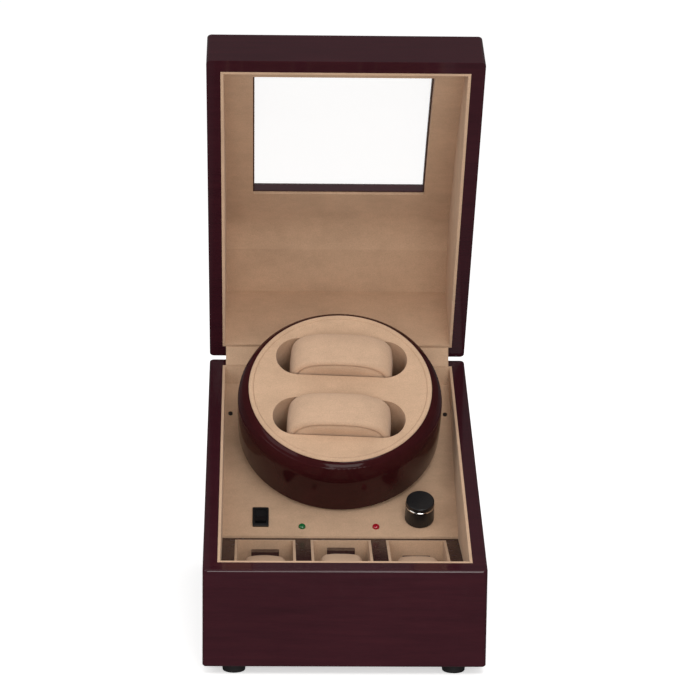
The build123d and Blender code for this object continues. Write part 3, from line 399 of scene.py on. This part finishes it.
BACK_DROP = 0.0032  # the watch cushions slope down a little towards their far sides
BACK_PULL = 0.05
WATCH_LOW, WATCH_HIGH = 0.0062, 0.0616  # along the drum's axis
WATCH_HALF_LENGTH, WATCH_HALF_WIDTH, WATCH_EDGE = 0.0357, 0.0149, 0.0034
WATCH_HALF_HEIGHT = (WATCH_HIGH - WATCH_LOW) / 2
WATCH_MIDDLE = (WATCH_LOW + WATCH_HIGH) / 2
for row, name, body in ((0.026, "upper", "upper_roll"), (-0.026, "lower", "lower_roll")):

    def place(u, v, w, row=row):
        behind = max(0.0, v / WATCH_HALF_WIDTH)
        w -= BACK_DROP * behind**2 * max(0.0, w / WATCH_HALF_HEIGHT)
        v *= 1 - BACK_PULL * behind
        return centre + across * u + up_slope * (row + v) + axis * (WATCH_MIDDLE + w)

    roll = stuffed_roll(
        f"{name}_watch_roll",
        WATCH_HALF_LENGTH,
        WATCH_HALF_HEIGHT,
        WATCH_HALF_WIDTH,
        WATCH_EDGE,
        place,
        power_top=3.0,
        power_low=6.0,
        seed=row * 100,
    )
    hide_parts(f"watch_cushion_{name}")
    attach(roll, body)

TAPER_LENGTH = 0.018  # the stored rolls narrow towards their far ends
TAPER = 0.2
STORED_EDGE = 0.0045
for number in (1, 2, 3):
    lowest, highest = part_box(f"storage_cushion_{number}")
    middle = (lowest + highest) / 2

    half_length = (highest.y - lowest.y) / 2

    def place(u, v, w, middle=middle, half_length=half_length):
        near_far_end = min(1.0, max(0.0, (u - (half_length - TAPER_LENGTH)) / TAPER_LENGTH))
        return Vector((middle.x + v * (1 - TAPER * near_far_end**1.5), middle.y + u, middle.z + w))

    roll = stuffed_roll(
        f"stored_roll_{number}",
        half_length,
        (highest.z - lowest.z) / 2,
        (highest.x - lowest.x) / 2,
        STORED_EDGE,
        place,
        power_top=4.2,
        power_low=4.2,
        seed=number * 3.7,
    )
    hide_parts(f"storage_cushion_{number}")
    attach(roll, f"stored_roll_{number}")

# ---------------------------------------------------------------- hinge flap
flap_low, flap_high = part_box("hinge_flap")
half_x = (flap_high.x - flap_low.x) / 2
start = Vector((0, flap_low.y + 0.0003, flap_low.z + 0.0001))
stop = Vector((0, flap_high.y - 0.0004, flap_high.z - 0.0009))
along = stop - start
normal = Vector((0, -along.z, along.y)).normalized()  # towards the inside of the box
mesh = bpy.data.meshes.new("flap_cloth")
build = bmesh.new()
COLUMNS, ROWS = 90, 10
FLAP_THICKNESS = 0.0006
grid = []
for side in (0, 1):
    layer = []
    for i in range(COLUMNS + 1):
        x = -half_x + 2 * half_x * i / COLUMNS
        column = []
        for j in range(ROWS + 1):
            t = j / ROWS
            point = start + along * t
            sag = math.sin(math.pi * t) * (0.5e-3 + 0.25e-3 * noise.noise(Vector((x * 28, t, 2.0))))
            point = Vector((x, point.y, point.z)) - normal * sag - normal * FLAP_THICKNESS * side
            column.append(build.verts.new(point))
        layer.append(column)
    grid.append(layer)
for side, layer in enumerate(grid):
    for i in range(COLUMNS):
        for j in range(ROWS):
            quad = [layer[i][j], layer[i + 1][j], layer[i + 1][j + 1], layer[i][j + 1]]
            build.faces.new(quad if side == 0 else list(reversed(quad)))
for i in range(COLUMNS):
    for j in (0, ROWS):
        build.faces.new((grid[0][i][j], grid[1][i][j], grid[1][i + 1][j], grid[0][i + 1][j]))
for j in range(ROWS):
    for i in (0, COLUMNS):
        build.faces.new((grid[0][i][j], grid[0][i][j + 1], grid[1][i][j + 1], grid[1][i][j]))
bmesh.ops.recalc_face_normals(build, faces=build.faces)
build.to_mesh(mesh)
build.free()
for polygon in mesh.polygons:
    polygon.use_smooth = True
flap = bpy.data.objects.new("flap_cloth", mesh)
scene.collection.objects.link(flap)
paint(flap, materials["velvet"])
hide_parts("hinge_flap")
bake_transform(flap)

# ---------------------------------------------------------------- stage
floor_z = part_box("rubber_feet")[0].z
bpy.ops.mesh.primitive_plane_add(size=12, location=(0, 0, floor_z))
floor = bpy.context.object
floor.name = "floor"
floor_material, floor_tree, floor_shader, floor_at = new_material("floor")
floor_tone = ramp(
    floor_tree,
    noise_value(floor_tree, floor_at, 3.0),
    [(0.3, (0.93, 0.93, 0.93)), (0.7, (0.95, 0.95, 0.95))],
)
floor_tree.links.new(floor_tone, floor_shader.inputs["Base Color"])
floor_shader.inputs["Roughness"].default_value = 0.9
floor_shader.inputs["Specular IOR Level"].default_value = 0.1
paint(floor, floor_material)
floor_shader.inputs["Emission Color"].default_value = (1, 1, 1, 1)
floor_shader.inputs["Emission Strength"].default_value = 0.55
floor.visible_glossy = False
floor.visible_diffuse = False

world = bpy.data.worlds.new("studio")
scene.world = world
world.use_nodes = True
tree = world.node_tree
background = tree.nodes["Background"]
# a white surround for the camera, a softer one for diffuse light and a dim one for reflections
paths = tree.nodes.new("ShaderNodeLightPath")
dim = tree.nodes.new("ShaderNodeMix")
dim.data_type = "FLOAT"
dim.inputs["A"].default_value = 0.53
dim.inputs["B"].default_value = 0.10
tree.links.new(paths.outputs["Is Glossy Ray"], dim.inputs["Factor"])
shown = tree.nodes.new("ShaderNodeMix")
shown.data_type = "FLOAT"
shown.inputs["B"].default_value = 1.0
tree.links.new(paths.outputs["Is Camera Ray"], shown.inputs["Factor"])
tree.links.new(dim.outputs["Result"], shown.inputs["A"])
tree.links.new(shown.outputs["Result"], background.inputs["Strength"])
background.inputs["Color"].default_value = (1.0, 0.99, 0.985, 1)


def lamp(name, place, target, size, energy, colour=(1, 1, 1)):
    data = bpy.data.lights.new(name, "AREA")
    data.energy = energy
    data.color = colour
    data.size = size
    obj = bpy.data.objects.new(name, data)
    obj.location = place
    obj.rotation_euler = (Vector(target) - Vector(place)).to_track_quat("-Z", "Y").to_euler()
    scene.collection.objects.link(obj)


lamp("key", (0.35, -1.3, 1.5), (0, 0.03, 0.12), 0.7, 7.5, (1, 0.985, 0.96))
lamp("fill", (-1.1, -1.0, 0.9), (0, 0.0, 0.1), 0.9, 4, (1, 0.99, 0.98))
lamp("top", (0.0, -0.1, 1.7), (0, 0.05, 0.1), 1.2, 2.5)
lamp("front", (0.1, -1.7, 0.2), (0, 0.1, 0.2), 0.9, 13, (1, 0.965, 0.93))

# ---------------------------------------------------------------- camera
CAMERA_AT = (-0.0551, -2.0389, 0.6037)
PITCH, YAW, ROLL = math.radians(12.62), math.radians(1.71), math.radians(0.67)
forward = Vector(
    (math.sin(YAW) * math.cos(PITCH), math.cos(YAW) * math.cos(PITCH), -math.sin(PITCH))
)
right = Vector((math.cos(YAW), -math.sin(YAW), 0))
up = right.cross(forward)
rolled_right = right * math.cos(ROLL) + up * math.sin(ROLL)
rolled_up = up * math.cos(ROLL) - right * math.sin(ROLL)
camera_data = bpy.data.cameras.new("camera")
camera = bpy.data.objects.new("camera", camera_data)
scene.collection.objects.link(camera)
camera.matrix_world = Matrix(
    (
        (rolled_right.x, rolled_up.x, -forward.x, CAMERA_AT[0]),
        (rolled_right.y, rolled_up.y, -forward.y, CAMERA_AT[1]),
        (rolled_right.z, rolled_up.z, -forward.z, CAMERA_AT[2]),
        (0, 0, 0, 1),
    )
)
camera_data.sensor_width = 36.0
camera_data.lens = 156.96
camera_data.shift_y = 0.0734
camera_data.clip_end = 50.0
scene.camera = camera
scene.view_settings.view_transform = "Standard"
scene.view_settings.look = "None"
